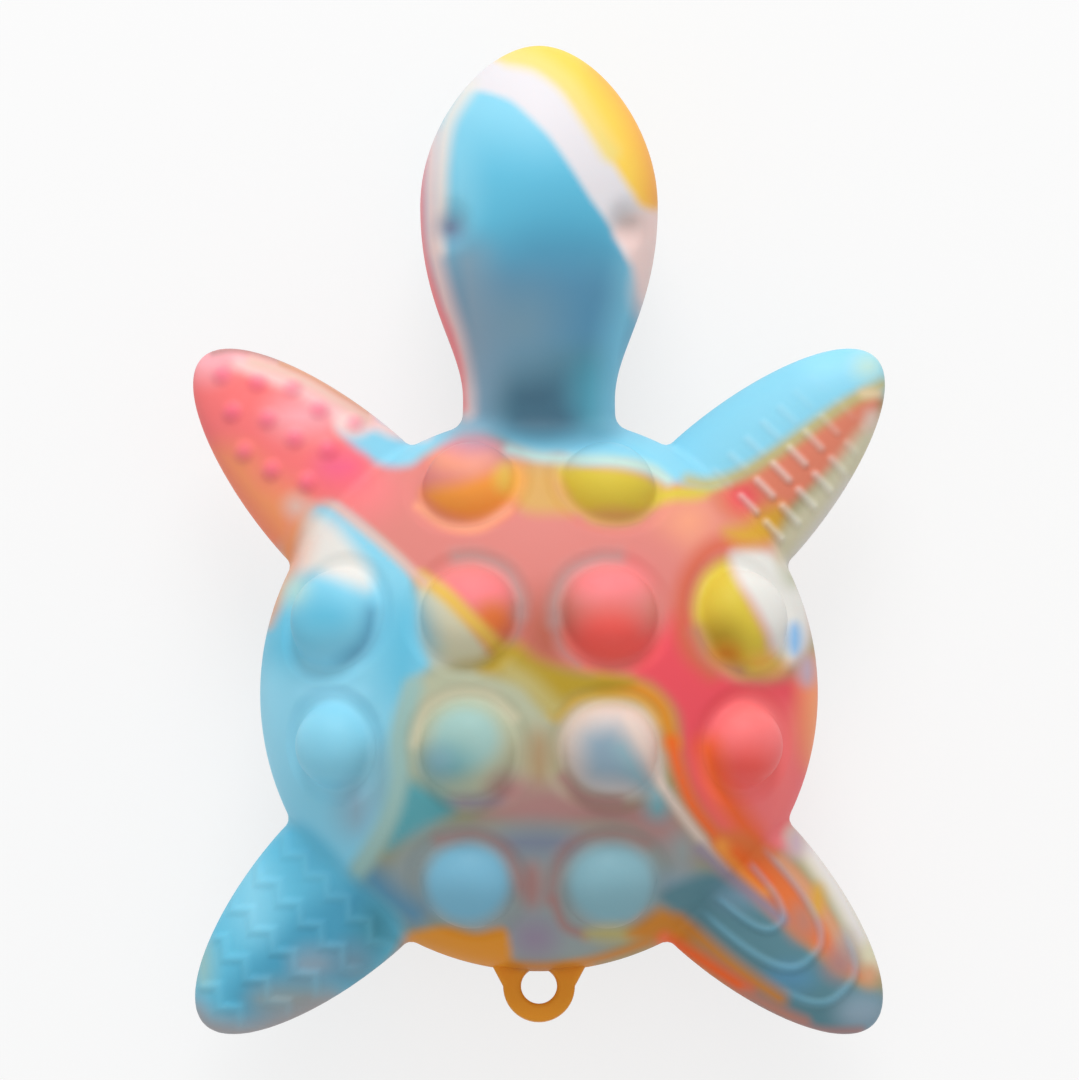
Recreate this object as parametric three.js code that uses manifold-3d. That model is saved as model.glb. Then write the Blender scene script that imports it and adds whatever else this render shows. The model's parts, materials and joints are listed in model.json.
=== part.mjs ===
// Turtle-shaped pop fidget toy in marbled silicone, in millimetres.
// The origin is the centre of the flat belly, +Z goes up through the back and +Y points to the head.
import * as THREE from "three";
import { mergeVertices } from "three/addons/utils/BufferGeometryUtils.js";
import Module from "manifold-3d";

// Body: round in plan, with a domed back and a flat belly
const BODY_RADIUS = 39;
const BACK_RISE = 23.5;
const BELLY_DROP = 18;
const BELLY_FLAT_RADIUS = 23;
const WALL = 2.4;

// Head and neck, measured along the body from its edge
const NECK_BEYOND_BODY = 2.4;
const NECK_HALF_WIDTH = 10.7;
const NECK_ROOT_DEPTH = 12;
const NECK_ROOT_FLARE = 2.5;
const HEAD_BEHIND_WIDEST = 27.8;
const HEAD_AHEAD_OF_WIDEST = 23;
const HEAD_HALF_WIDTH = 16.8;
const HEAD_HALF_HEIGHT = 14.4;
const EYE_RADIUS = 2.4;
const EYE_DEPTH = 0.9;
const EYE_SPREAD = 46;
const EYE_BEHIND_WIDEST = 4.7;

// Flippers, one on each diagonal of the body
const FLIPPER_ANGLE = 45;
const FLIPPER_FRONT_REACH = 28.1;
const FLIPPER_REAR_REACH = 26.7;
const FLIPPER_HALF_WIDTH = 11.7;
const FLIPPER_HALF_THICKNESS = 6.2;
const FLIPPER_TAPER = 0.13;

// Push bubbles in four columns and four rows that fill the back, with a rib between the inner rows
const COLUMN_OUTER_INSET = 10.4;
const ROW_END_INSET = 11.3;
const INNER_SPREAD = 0.27;
const GRID_SHIFT = -1;
const NECK_ROW_AHEAD = 1;
const FRONT_OUTER_AHEAD = 0.3;
const BACK_OUTER_AHEAD = 1.3;
const BUBBLE_RIB = 1.4;
const BUBBLE_FRONT_OUTER_MORE = 0.4;
const BUBBLE_BACK_OUTER_LESS = 0.7;
const BUBBLE_RISE = 5.4;
const BUBBLE_SKIN = 1.2;

// Thin hinge ring that each bubble pops through
const HINGE_DEPTH = 1.2;
const HINGE_WIDTH = 1.5;
const HINGE_THICKNESS = 0.9;

// Key loop at the tail, its foot held in the seam
const LOOP_HOLE_BEYOND_BODY = 2.1;
const LOOP_HOLE_RADIUS = 2.5;
const LOOP_RIM = 2.5;
const LOOP_ROOT_HALF_WIDTH = 7.4;
const LOOP_THICKNESS = 3;
const LOOP_FOOT_OVERHANG = 2.6;
const LOOP_FOOT_DEPTH = 2.4;

const VENT_RADIUS = 1.3;
const VENT_Y = -14;

// Fits
const SEAM_GAP = 0.3;
const CLEARANCE = 0.3;

// Fineness of the round shapes
const BODY_SIDES = 36;
const HEAD_SIDES = 20;
const FLIPPER_SIDES = 14;
const FLIPPER_STEPS = 10;
const RING_SIDES = 16;
const CURVE_STEPS = 4;

const SEAM_Z = BELLY_DROP;
const NECK_Y = BODY_RADIUS + NECK_BEYOND_BODY;
const HEAD_WIDEST_Y = NECK_Y + HEAD_BEHIND_WIDEST;
const HEAD_TIP_Y = HEAD_WIDEST_Y + HEAD_AHEAD_OF_WIDEST;
const COLUMN_OUTER = BODY_RADIUS - COLUMN_OUTER_INSET;
const COLUMN_INNER = COLUMN_OUTER / 3 + INNER_SPREAD;
const ROW_END = BODY_RADIUS - ROW_END_INSET;
const ROW_INNER = ROW_END / 3 + INNER_SPREAD;
const NECK_ROW = ROW_END + NECK_ROW_AHEAD;
const FRONT_OUTER_ROW = ROW_INNER + FRONT_OUTER_AHEAD;
const BACK_OUTER_ROW = BACK_OUTER_AHEAD - ROW_INNER;
const SEAT_MARGIN = CLEARANCE + HINGE_WIDTH + CLEARANCE;
const BUBBLE_RADIUS = ROW_INNER - BUBBLE_RIB / 2 - SEAT_MARGIN;
const BUBBLE_FRONT_OUTER_RADIUS = BUBBLE_RADIUS + BUBBLE_FRONT_OUTER_MORE;
const BUBBLE_BACK_OUTER_RADIUS = BUBBLE_RADIUS - BUBBLE_BACK_OUTER_LESS;
const LOOP_HOLE_Y = -(BODY_RADIUS + LOOP_HOLE_BEYOND_BODY);
const LOOP_END_RADIUS = LOOP_HOLE_RADIUS + LOOP_RIM;
const LOOP_FOOT_HALF_WIDTH = LOOP_ROOT_HALF_WIDTH + LOOP_FOOT_OVERHANG;
const LOOP_FOOT_Y = -Math.sqrt((BODY_RADIUS - WALL) ** 2 - LOOP_ROOT_HALF_WIDTH ** 2);
const FAR = 4 * HEAD_TIP_Y;

const wasm = await Module();
wasm.setup();

const solidOf = (geometry) => {
  geometry.deleteAttribute("normal");
  geometry.deleteAttribute("uv");
  const joined = mergeVertices(geometry, 1e-4);
  const corners = [];
  const index = joined.index.array;
  for (let i = 0; i < index.length; i += 3) {
    const [a, b, c] = [index[i], index[i + 1], index[i + 2]];
    if (a !== b && b !== c && c !== a) corners.push(a, b, c);
  }
  return new wasm.Manifold(new wasm.Mesh({
    numProp: 3,
    vertProperties: new Float32Array(joined.attributes.position.array),
    triVerts: new Uint32Array(corners),
  }));
};

const geometryOf = (solid) => {
  const mesh = solid.getMesh();
  const geometry = new THREE.BufferGeometry();
  geometry.setAttribute("position", new THREE.BufferAttribute(mesh.vertProperties, mesh.numProp));
  geometry.setIndex(new THREE.BufferAttribute(mesh.triVerts, 1));
  geometry.computeVertexNormals();
  return geometry;
};

// A turned shape about +Z from a path of (radius, height)
const turned = (path, sides) => {
  const geometry = new THREE.LatheGeometry(path.getPoints(CURVE_STEPS), sides);
  return geometry.rotateX(Math.PI / 2);
};

const bodySolid = (inset) => {
  const profile = new THREE.Path();
  profile.moveTo(0, inset);
  profile.lineTo(BELLY_FLAT_RADIUS, inset);
  profile.absellipse(
    BELLY_FLAT_RADIUS, SEAM_Z,
    BODY_RADIUS - BELLY_FLAT_RADIUS - inset, BELLY_DROP - inset,
    -Math.PI / 2, 0, false,
  );
  profile.absellipse(0, SEAM_Z, BODY_RADIUS - inset, BACK_RISE - inset, 0, Math.PI / 2, false);
  return solidOf(turned(profile, BODY_SIDES));
};

const headSolid = (inset) => {
  const rootY = NECK_Y - NECK_ROOT_DEPTH;
  const tipY = HEAD_TIP_Y - inset;
  const neck = NECK_HALF_WIDTH - inset;
  const widest = HEAD_HALF_WIDTH - inset;
  const profile = new THREE.Path();
  profile.moveTo(0, rootY);
  profile.lineTo(neck + NECK_ROOT_FLARE, rootY);
  profile.bezierCurveTo(
    neck, rootY + NECK_ROOT_DEPTH / 2,
    neck, NECK_Y - NECK_ROOT_DEPTH / 4,
    neck, NECK_Y,
  );
  profile.bezierCurveTo(
    neck, NECK_Y + 0.27 * HEAD_BEHIND_WIDEST,
    widest, HEAD_WIDEST_Y - 0.53 * HEAD_BEHIND_WIDEST,
    widest, HEAD_WIDEST_Y,
  );
  profile.bezierCurveTo(
    widest, HEAD_WIDEST_Y + 0.51 * (tipY - HEAD_WIDEST_Y),
    0.45 * widest, tipY,
    0, tipY,
  );
  const geometry = new THREE.LatheGeometry(profile.getPoints(CURVE_STEPS), HEAD_SIDES);
  geometry.scale(1, 1, (HEAD_HALF_HEIGHT - inset) / widest);
  geometry.translate(0, 0, SEAM_Z);
  return solidOf(geometry);
};

const flipperSolid = ({ degrees, reach }, inset) => {
  const geometry = new THREE.SphereGeometry(1, FLIPPER_SIDES, FLIPPER_STEPS);
  geometry.rotateZ(-Math.PI / 2);
  const points = geometry.attributes.position;
  for (let i = 0; i < points.count; i += 1) {
    points.setY(i, points.getY(i) * (1 - FLIPPER_TAPER * Math.max(0, points.getX(i))));
  }
  geometry.scale(reach - inset, FLIPPER_HALF_WIDTH - inset, FLIPPER_HALF_THICKNESS - inset);
  geometry.translate(BODY_RADIUS, 0, SEAM_Z);
  geometry.rotateZ(THREE.MathUtils.degToRad(degrees));
  return solidOf(geometry);
};

const FLIPPERS = [
  { degrees: FLIPPER_ANGLE, reach: FLIPPER_FRONT_REACH },
  { degrees: 180 - FLIPPER_ANGLE, reach: FLIPPER_FRONT_REACH },
  { degrees: 180 + FLIPPER_ANGLE, reach: FLIPPER_REAR_REACH },
  { degrees: -FLIPPER_ANGLE, reach: FLIPPER_REAR_REACH },
];

const turtleForm = (inset) => FLIPPERS.reduce(
  (form, flipper) => form.add(flipperSolid(flipper, inset)),
  bodySolid(inset).add(headSolid(inset)),
);

const boxSolid = (low, high) => {
  const size = new THREE.Vector3().subVectors(high, low);
  const middle = new THREE.Vector3().addVectors(low, high).multiplyScalar(0.5);
  const geometry = new THREE.BoxGeometry(size.x, size.y, size.z);
  geometry.translate(middle.x, middle.y, middle.z);
  return solidOf(geometry);
};

// A round bar along a placed +Z, from low to high
const barSolid = (radius, low, high, placed) => {
  const geometry = new THREE.CylinderGeometry(radius, radius, high - low, RING_SIDES);
  geometry.rotateX(Math.PI / 2);
  geometry.translate(0, 0, (low + high) / 2);
  return solidOf(geometry.applyMatrix4(placed));
};

// Where a bubble sits: on the back at a plan position, with +Z along the surface normal
const seatOn = (x, y) => {
  const rise = BACK_RISE * Math.sqrt(1 - (x ** 2 + y ** 2) / BODY_RADIUS ** 2);
  const normal = new THREE.Vector3(x, y, rise * (BODY_RADIUS / BACK_RISE) ** 2).normalize();
  const turn = new THREE.Quaternion().setFromUnitVectors(new THREE.Vector3(0, 0, 1), normal);
  const place = new THREE.Vector3(x, y, SEAM_Z + rise);
  return new THREE.Matrix4().compose(place, turn, new THREE.Vector3(1, 1, 1));
};

const BLUE = 0x68c0e0;
const CORAL = 0xf08080;
const ORANGE = 0xe88a30;
const YELLOW = 0xc8b030;
const CREAM = 0xe8dcd0;

const bubbleAt = (name, x, y, radius, colour) => ({ name, radius, colour, seat: seatOn(x, y + GRID_SHIFT) });

const BUBBLES = [
  bubbleAt("neck_left", -COLUMN_INNER, NECK_ROW, BUBBLE_RADIUS, ORANGE),
  bubbleAt("neck_right", COLUMN_INNER, NECK_ROW, BUBBLE_RADIUS, YELLOW),
  bubbleAt("front_outer_left", -COLUMN_OUTER, FRONT_OUTER_ROW, BUBBLE_FRONT_OUTER_RADIUS, BLUE),
  bubbleAt("front_inner_left", -COLUMN_INNER, ROW_INNER, BUBBLE_RADIUS, CORAL),
  bubbleAt("front_inner_right", COLUMN_INNER, ROW_INNER, BUBBLE_RADIUS, CORAL),
  bubbleAt("front_outer_right", COLUMN_OUTER, FRONT_OUTER_ROW, BUBBLE_FRONT_OUTER_RADIUS, YELLOW),
  bubbleAt("back_outer_left", -COLUMN_OUTER, BACK_OUTER_ROW, BUBBLE_BACK_OUTER_RADIUS, BLUE),
  bubbleAt("back_inner_left", -COLUMN_INNER, -ROW_INNER, BUBBLE_RADIUS, BLUE),
  bubbleAt("back_inner_right", COLUMN_INNER, -ROW_INNER, BUBBLE_RADIUS, CREAM),
  bubbleAt("back_outer_right", COLUMN_OUTER, BACK_OUTER_ROW, BUBBLE_BACK_OUTER_RADIUS, CORAL),
  bubbleAt("tail_left", -COLUMN_INNER, -ROW_END, BUBBLE_RADIUS, BLUE),
  bubbleAt("tail_right", COLUMN_INNER, -ROW_END, BUBBLE_RADIUS, BLUE),
];

// Thin domed skin with a short skirt that sits inside its hinge ring
const bubbleSolid = ({ radius, seat }) => {
  const hinge = -HINGE_DEPTH;
  const skirt = hinge - HINGE_THICKNESS;
  const inner = radius - BUBBLE_SKIN;
  const profile = new THREE.Path();
  profile.moveTo(0, hinge + BUBBLE_RISE - BUBBLE_SKIN);
  profile.bezierCurveTo(
    0.6 * inner, hinge + BUBBLE_RISE - BUBBLE_SKIN,
    inner, hinge + 0.5 * (BUBBLE_RISE - BUBBLE_SKIN),
    inner, hinge,
  );
  profile.lineTo(inner, skirt);
  profile.lineTo(radius, skirt);
  profile.lineTo(radius, hinge);
  profile.bezierCurveTo(
    radius, hinge + 0.5 * BUBBLE_RISE,
    0.6 * radius, hinge + BUBBLE_RISE,
    0, hinge + BUBBLE_RISE,
  );
  return solidOf(turned(profile, RING_SIDES).applyMatrix4(seat));
};

const hingeSolid = ({ radius, seat }) => {
  const inner = radius + CLEARANCE;
  const outer = inner + HINGE_WIDTH;
  const profile = new THREE.Path();
  profile.moveTo(inner, -HINGE_DEPTH);
  profile.lineTo(inner, -HINGE_DEPTH - HINGE_THICKNESS);
  profile.lineTo(outer, -HINGE_DEPTH - HINGE_THICKNESS);
  profile.lineTo(outer, -HINGE_DEPTH);
  profile.lineTo(inner, -HINGE_DEPTH);
  return solidOf(turned(profile, RING_SIDES).applyMatrix4(seat));
};

const seatHole = ({ radius, seat }) => barSolid(radius + SEAT_MARGIN, -BACK_RISE / 2, BUBBLE_RISE, seat);

// Flat tab with a round end; its wider foot seats in a pocket behind the wall and cannot be drawn out
const loopSolid = () => {
  const tangentFrom = new THREE.Vector2(LOOP_ROOT_HALF_WIDTH, -BODY_RADIUS - LOOP_HOLE_Y);
  const lean = tangentFrom.angle() - Math.acos(LOOP_END_RADIUS / tangentFrom.length());
  const outline = new THREE.Shape();
  outline.moveTo(-LOOP_FOOT_HALF_WIDTH, LOOP_FOOT_Y + LOOP_FOOT_DEPTH);
  outline.lineTo(-LOOP_FOOT_HALF_WIDTH, LOOP_FOOT_Y);
  outline.lineTo(-LOOP_ROOT_HALF_WIDTH, LOOP_FOOT_Y);
  outline.lineTo(-LOOP_ROOT_HALF_WIDTH, -BODY_RADIUS);
  outline.absarc(0, LOOP_HOLE_Y, LOOP_END_RADIUS, Math.PI - lean, 2 * Math.PI + lean, false);
  outline.lineTo(LOOP_ROOT_HALF_WIDTH, -BODY_RADIUS);
  outline.lineTo(LOOP_ROOT_HALF_WIDTH, LOOP_FOOT_Y);
  outline.lineTo(LOOP_FOOT_HALF_WIDTH, LOOP_FOOT_Y);
  outline.lineTo(LOOP_FOOT_HALF_WIDTH, LOOP_FOOT_Y + LOOP_FOOT_DEPTH);
  outline.closePath();
  const hole = new THREE.Path();
  hole.absarc(0, LOOP_HOLE_Y, LOOP_HOLE_RADIUS, 0, 2 * Math.PI, true);
  outline.holes.push(hole);
  const geometry = new THREE.ExtrudeGeometry(outline, {
    depth: LOOP_THICKNESS,
    bevelEnabled: false,
    curveSegments: 3 * CURVE_STEPS,
  });
  geometry.translate(0, 0, SEAM_Z - LOOP_THICKNESS / 2);
  return solidOf(geometry);
};

// The slot that the tab passes through, with the pocket for its foot
const loopSlot = () => {
  const halfHeight = LOOP_THICKNESS / 2 + CLEARANCE;
  const passage = boxSolid(
    new THREE.Vector3(-LOOP_ROOT_HALF_WIDTH - CLEARANCE, LOOP_HOLE_Y, SEAM_Z - halfHeight),
    new THREE.Vector3(LOOP_ROOT_HALF_WIDTH + CLEARANCE, LOOP_FOOT_Y, SEAM_Z + halfHeight),
  );
  const pocketHalf = LOOP_FOOT_HALF_WIDTH + CLEARANCE;
  const pocket = boxSolid(
    new THREE.Vector3(-pocketHalf, LOOP_FOOT_Y - CLEARANCE, SEAM_Z - halfHeight),
    new THREE.Vector3(pocketHalf, LOOP_FOOT_Y + 2 * LOOP_FOOT_DEPTH, SEAM_Z + halfHeight),
  );
  return passage.add(pocket);
};

// A shallow eye dimple, square to the head
const eyeDimple = (side) => {
  const spread = THREE.MathUtils.degToRad(EYE_SPREAD);
  const dimpleBall = (EYE_RADIUS ** 2 + EYE_DEPTH ** 2) / (2 * EYE_DEPTH);
  const out = 1 + (dimpleBall - EYE_DEPTH) / HEAD_HALF_WIDTH;
  const geometry = new THREE.SphereGeometry(dimpleBall, RING_SIDES, FLIPPER_STEPS);
  geometry.translate(
    side * out * HEAD_HALF_WIDTH * Math.sin(spread),
    HEAD_WIDEST_Y - EYE_BEHIND_WIDEST,
    SEAM_Z + out * HEAD_HALF_HEIGHT * Math.cos(spread),
  );
  return solidOf(geometry);
};

const hollow = turtleForm(0).subtract(turtleForm(WALL));
const aboveSeam = boxSolid(
  new THREE.Vector3(-FAR, -FAR, SEAM_Z + SEAM_GAP / 2),
  new THREE.Vector3(FAR, FAR, FAR),
);
const belowSeam = boxSolid(
  new THREE.Vector3(-FAR, -FAR, -FAR),
  new THREE.Vector3(FAR, FAR, SEAM_Z - SEAM_GAP / 2),
);
const slot = loopSlot();
const vent = barSolid(VENT_RADIUS, -WALL, 2 * WALL, new THREE.Matrix4().makeTranslation(0, VENT_Y, 0));

const upperShell = BUBBLES.reduce(
  (shell, bubble) => shell.subtract(seatHole(bubble)),
  hollow.intersect(aboveSeam).subtract(slot).subtract(eyeDimple(-1)).subtract(eyeDimple(1)),
);
const lowerShell = hollow.intersect(belowSeam).subtract(slot).subtract(vent);

const toy = new THREE.Group();
toy.name = "turtle_pop_toy";

const addPiece = (name, solid, colour) => {
  const silicone = new THREE.MeshStandardMaterial({ color: colour, roughness: 0.5, metalness: 0 });
  const mesh = new THREE.Mesh(geometryOf(solid), silicone);
  mesh.name = name;
  toy.add(mesh);
};

addPiece("upper_shell", upperShell, 0x7fb8d0);
addPiece("lower_shell", lowerShell, 0xd89068);
addPiece("key_loop", loopSolid(), ORANGE);
for (const bubble of BUBBLES) {
  addPiece(`hinge_${bubble.name}`, hingeSolid(bubble), bubble.colour);
  addPiece(`bubble_${bubble.name}`, bubbleSolid(bubble), bubble.colour);
}

export default toy;
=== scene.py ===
import json
import math

import bmesh
import bpy
import numpy as np
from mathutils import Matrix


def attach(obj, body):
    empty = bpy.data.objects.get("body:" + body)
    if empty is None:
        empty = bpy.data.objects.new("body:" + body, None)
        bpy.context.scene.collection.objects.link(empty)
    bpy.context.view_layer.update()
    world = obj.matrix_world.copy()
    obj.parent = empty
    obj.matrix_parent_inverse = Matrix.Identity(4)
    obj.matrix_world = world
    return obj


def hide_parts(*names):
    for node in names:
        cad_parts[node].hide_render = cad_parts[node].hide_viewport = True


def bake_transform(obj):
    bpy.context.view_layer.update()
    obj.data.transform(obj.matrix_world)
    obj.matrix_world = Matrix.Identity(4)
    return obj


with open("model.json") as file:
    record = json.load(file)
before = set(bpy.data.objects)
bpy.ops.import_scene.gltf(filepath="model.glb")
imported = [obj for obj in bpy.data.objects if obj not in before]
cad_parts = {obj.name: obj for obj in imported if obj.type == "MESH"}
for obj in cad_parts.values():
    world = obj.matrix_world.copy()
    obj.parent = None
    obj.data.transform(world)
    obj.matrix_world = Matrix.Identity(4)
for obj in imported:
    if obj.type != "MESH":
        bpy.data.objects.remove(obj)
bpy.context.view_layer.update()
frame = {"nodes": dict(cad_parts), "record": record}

import openvdb
from mathutils import Vector

# Lengths are millimetres until a mesh is made, and the forms' heights count from the seam between the halves
MM = 0.001
TINY = 1e-9

# The CAD part's sizes
SEAM_HEIGHT = 18.0
BODY_RADIUS = 39.0
BACK_RISE = 23.5
BELLY_FLAT_RADIUS = 23.0
NECK_BEYOND_BODY = 2.4
NECK_HALF_WIDTH = 10.7
NECK_ROOT_DEPTH = 12.0
NECK_ROOT_FLARE = 2.5
HEAD_BEHIND_WIDEST = 27.8
HEAD_AHEAD_OF_WIDEST = 23.0
HEAD_HALF_WIDTH = 16.8
HEAD_HALF_HEIGHT = 14.4
EYE_RADIUS = 2.4
EYE_DEPTH = 0.9
EYE_SPREAD = math.radians(46)
EYE_BEHIND_WIDEST = 4.7
FLIPPER_FRONT_REACH = 28.1
FLIPPER_REAR_REACH = 26.7
FLIPPER_HALF_WIDTH = 11.7
FLIPPER_HALF_THICKNESS = 6.2
FLIPPER_TAPER = 0.13
HINGE_WIDTH = 1.5
CLEARANCE = 0.3
LOOP_HOLE_BEYOND_BODY = 2.1
LOOP_HOLE_RADIUS = 2.5
LOOP_RIM = 2.5
LOOP_ROOT_HALF_WIDTH = 7.4
LOOP_FOOT_DEPTH = 2.4
LOOP_THICKNESS = 3.0
VENT_RADIUS = 1.3
VENT_Y = -14.0

NECK_Y = BODY_RADIUS + NECK_BEYOND_BODY
HEAD_WIDEST_Y = NECK_Y + HEAD_BEHIND_WIDEST
HEAD_TIP_Y = HEAD_WIDEST_Y + HEAD_AHEAD_OF_WIDEST
EYE_Y = HEAD_WIDEST_Y - EYE_BEHIND_WIDEST
LOOP_HOLE_Y = -BODY_RADIUS - LOOP_HOLE_BEYOND_BODY
LOOP_ROOT_Y = LOOP_FOOT_DEPTH - BODY_RADIUS

# How the soft moulding rounds those forms
NECK_FILLET = 1.8
FLIPPER_FILLET = 1.3
EYE_EDGE = 2.0
VENT_EDGE = 0.4
VENT_DEPTH = 3.0
LOOP_EDGE = 0.7
SEAM_GAP = 0.06
SEAM_EDGE = 0.16
MOAT_DEPTH = 0.45
MOAT_FLAT = 0.9
MOAT_ROUND = 0.9

# How finely the skins are made
SKIN_STEP = 0.62
SKIN_BOX = ((-50, -50, -19.5), (50.5, 95, 25.5))
LOOP_STEP = 0.25
LOOP_BOX = ((-9, -47.5, -2.5), (9, -35.5, 2.6))
LOOP_END_STEPS = 25
SEAT_DETAIL = 2.2
SLOPE_STEP = 0.05
SETTLE_ROUNDS = 4
RAISE_ROUNDS = 6

# The photograph's view: from above, leaning to the tail, at the toy's middle
VIEW_LEAN = math.radians(8)
VIEW_DISTANCE = 900.0
VIEW_MIDDLE = (0.07, 21.3)
PHOTO_SPAN = 151.1


def smooth_step(value):
    share = np.clip(value, 0, 1)
    return share * share * (3 - 2 * share)


def smooth_min(a, b, reach):
    """The smaller of two fields, rounded where they come within reach of each other."""
    near = np.maximum(reach - np.abs(a - b), 0)
    return np.minimum(a, b) - near**2 / (4 * reach)


def ellipse_field(lengths, radii):
    """Distance to an ellipse or ellipsoid, true at its surface, from lengths along its half axes."""
    scaled = [length / radius for length, radius in zip(lengths, radii)]
    steps = [part / radius for part, radius in zip(scaled, radii)]
    level = np.sqrt(sum(part**2 for part in scaled))
    slope = np.sqrt(sum(part**2 for part in steps))
    return level * (level - 1) / np.maximum(slope, TINY)


def bezier(start, first, second, end, steps):
    t = np.linspace(0, 1, steps)[:, None]
    corners = np.array([start, first, second, end])
    return (
        (1 - t) ** 3 * corners[0]
        + 3 * (1 - t) ** 2 * t * corners[1]
        + 3 * (1 - t) * t**2 * corners[2]
        + t**3 * corners[3]
    )


def path_distance(points, path):
    """Distance from each point to an open path."""
    nearest = np.full(len(points), np.inf)
    for start, end in zip(path[:-1], path[1:]):
        along = end - start
        share = np.clip((points - start) @ along / max(along @ along, TINY), 0, 1)
        gap = points - start - share[:, None] * along
        nearest = np.minimum(nearest, np.einsum("ij,ij->i", gap, gap))
    return np.sqrt(nearest)


def outline_distance(points, outline):
    """Signed distance from each point to a closed outline, negative inside."""
    inside = np.zeros(len(points), bool)
    for start, end in zip(outline, np.roll(outline, -1, axis=0)):
        spans = (start[1] > points[:, 1]) != (end[1] > points[:, 1])
        rise = end[1] - start[1]
        cross = start[0] + (points[:, 1] - start[1]) * (end[0] - start[0]) / (rise if rise else TINY)
        inside ^= spans & (points[:, 0] < cross)
    gap = path_distance(points, np.vstack([outline, outline[:1]]))
    return np.where(inside, -gap, gap)


# The head is turned about the toy's length, so its distance is looked up by half width and place along it
HEAD_TABLE_STEP = 0.2
HEAD_TABLE_START = 15.0
HEAD_TABLE_SIZE = (300, 450)
THROAT_STEPS = 16
CHEEK_STEPS = 28
NOSE_STEPS = 36

# How far the curves of cheek and nose pull, as shares of the lengths that they span
CHEEK_NECK_PULL = 0.27
CHEEK_WIDEST_PULL = 0.53
NOSE_WIDEST_PULL = 0.51
NOSE_TIP_PULL = 0.45


def head_profile():
    root = NECK_Y - NECK_ROOT_DEPTH
    throat = bezier(
        (NECK_HALF_WIDTH + NECK_ROOT_FLARE, root),
        (NECK_HALF_WIDTH, root + NECK_ROOT_DEPTH / 2),
        (NECK_HALF_WIDTH, NECK_Y - NECK_ROOT_DEPTH / 4),
        (NECK_HALF_WIDTH, NECK_Y),
        THROAT_STEPS,
    )
    cheek = bezier(
        (NECK_HALF_WIDTH, NECK_Y),
        (NECK_HALF_WIDTH, NECK_Y + CHEEK_NECK_PULL * HEAD_BEHIND_WIDEST),
        (HEAD_HALF_WIDTH, HEAD_WIDEST_Y - CHEEK_WIDEST_PULL * HEAD_BEHIND_WIDEST),
        (HEAD_HALF_WIDTH, HEAD_WIDEST_Y),
        CHEEK_STEPS,
    )
    nose = bezier(
        (HEAD_HALF_WIDTH, HEAD_WIDEST_Y),
        (HEAD_HALF_WIDTH, HEAD_WIDEST_Y + NOSE_WIDEST_PULL * HEAD_AHEAD_OF_WIDEST),
        (NOSE_TIP_PULL * HEAD_HALF_WIDTH, HEAD_TIP_Y),
        (0, HEAD_TIP_Y),
        NOSE_STEPS,
    )
    return np.vstack([[[0, root]], throat, cheek[1:], nose[1:]])


def head_table():
    profile = head_profile()
    widths = np.arange(HEAD_TABLE_SIZE[0]) * HEAD_TABLE_STEP
    places = HEAD_TABLE_START + np.arange(HEAD_TABLE_SIZE[1]) * HEAD_TABLE_STEP
    cells = np.stack(np.meshgrid(widths, places, indexing="ij"), -1).reshape(-1, 2)
    limit = np.interp(cells[:, 1], profile[1:, 1], profile[1:, 0])
    inside = (cells[:, 0] < limit) & (cells[:, 1] > profile[0, 1]) & (cells[:, 1] < HEAD_TIP_Y)
    gap = path_distance(cells, profile)
    return np.where(inside, -gap, gap).reshape(HEAD_TABLE_SIZE)


HEAD_TABLE = head_table()


def table_cell(places, size):
    """Cells of the head's table that places lie in, and how far they lie across them."""
    held = np.clip(places / HEAD_TABLE_STEP, 0, size - 1 - TINY)
    cells = np.minimum(held.astype(int), size - 2)
    return cells, held - cells


def head_field(p):
    flatten = HEAD_HALF_WIDTH / HEAD_HALF_HEIGHT
    i, a = table_cell(np.hypot(p[:, 0], p[:, 2] * flatten), HEAD_TABLE_SIZE[0])
    j, b = table_cell(p[:, 1] - HEAD_TABLE_START, HEAD_TABLE_SIZE[1])
    near = HEAD_TABLE[i, j] * (1 - b) + HEAD_TABLE[i, j + 1] * b
    far = HEAD_TABLE[i + 1, j] * (1 - b) + HEAD_TABLE[i + 1, j + 1] * b
    return near * (1 - a) + far * a


def body_field(p):
    out = np.hypot(p[:, 0], p[:, 1])
    back = ellipse_field((out, p[:, 2]), (BODY_RADIUS, BACK_RISE))
    rim = np.maximum(out - BELLY_FLAT_RADIUS, 0)
    belly = ellipse_field((rim, p[:, 2]), (BODY_RADIUS - BELLY_FLAT_RADIUS, SEAM_HEIGHT))
    return np.where(p[:, 2] > 0, back, belly)


def flipper_place(p):
    """Where points lie on the nearest flipper: along its diagonal from the middle, and across it."""
    along = (np.abs(p[:, 0]) + np.abs(p[:, 1])) * math.sqrt(0.5)
    across = (np.abs(p[:, 0]) - np.abs(p[:, 1])) * math.sqrt(0.5)
    return along, across


def flipper_reach(p):
    return np.where(p[:, 1] > 0, FLIPPER_FRONT_REACH, FLIPPER_REAR_REACH)


def flipper_field(p):
    along, across = flipper_place(p)
    reach = flipper_reach(p)
    beyond = along - BODY_RADIUS
    taper = 1 - FLIPPER_TAPER * np.maximum(beyond / reach, 0)
    return ellipse_field(
        (beyond, across / taper, p[:, 2]),
        (reach, FLIPPER_HALF_WIDTH, FLIPPER_HALF_THICKNESS),
    )


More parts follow.
